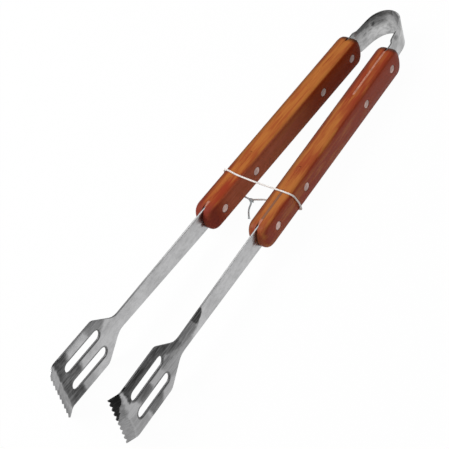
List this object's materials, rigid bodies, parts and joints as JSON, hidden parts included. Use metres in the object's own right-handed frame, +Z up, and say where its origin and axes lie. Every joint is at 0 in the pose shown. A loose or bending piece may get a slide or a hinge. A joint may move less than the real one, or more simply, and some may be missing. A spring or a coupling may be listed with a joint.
{
  "type": "barbecue tongs",
  "caption": "Long barbecue tongs with a spring bow, riveted wooden handles, slotted blades with toothed ends, and a string tie round the handles.",
  "frame": {"origin": "middle of the footprint, on the surface that the tongs lie on", "axes": "+Z up from that surface, +Y along the tongs from the blades to the bow, +X across the arms from the left one to the right one. The tongs rest on one edge of each blade and of the bow, so their own middle plane dips 1.8 degrees towards the bow."},
  "size_m": [0.0668, 0.4288, 0.0496],
  "materials": {
    "wood": "glossy red-brown lacquer",
    "spring_steel": "satin rolled strip",
    "blade_steel": "half-bright rolled sheet",
    "rivet_steel": "bright, ground flush",
    "string": "matt twisted cotton"
  },
  "bodies": {
    "bow": {"spring_bow": "spring_steel", "string_tie": "string", "string_tail": "string"},
    "left_arm": {"left_handle": "wood", "left_blade": "blade_steel", "left_rivet_1_socket": "rivet_steel", "left_rivet_1_pin": "rivet_steel", "left_rivet_2_socket": "rivet_steel", "left_rivet_2_pin": "rivet_steel", "left_rivet_3_socket": "rivet_steel", "left_rivet_3_pin": "rivet_steel", "left_rivet_4_socket": "rivet_steel", "left_rivet_4_pin": "rivet_steel"},
    "right_arm": {"right_handle": "wood", "right_blade": "blade_steel", "right_rivet_1_socket": "rivet_steel", "right_rivet_1_pin": "rivet_steel", "right_rivet_2_socket": "rivet_steel", "right_rivet_2_pin": "rivet_steel", "right_rivet_3_socket": "rivet_steel", "right_rivet_3_pin": "rivet_steel", "right_rivet_4_socket": "rivet_steel", "right_rivet_4_pin": "rivet_steel"}
  },
  "joints": [
    {"name": "left_squeeze", "type": "hinge", "parent": "bow", "child": "left_arm", "pos_m": [-0.0124, 0.19644, 0.01284], "axis": [0, 0.0312, 0.9995], "range_deg": [0, 3.48], "stiffness_Nm_per_rad": 13, "springref_deg": -2.01, "deforming": ["spring_bow", "string_tie", "string_tail"]},
    {"name": "right_squeeze", "type": "hinge", "parent": "bow", "child": "right_arm", "pos_m": [0.0124, 0.19644, 0.01284], "axis": [0, -0.0312, -0.9995], "range_deg": [0, 3.48], "stiffness_Nm_per_rad": 13, "springref_deg": -2.01, "deforming": ["spring_bow", "string_tie", "string_tail"]}
  ],
  "couplings": [
    {"joint": "right_squeeze", "follows": "left_squeeze", "ratio": 1}
  ]
}
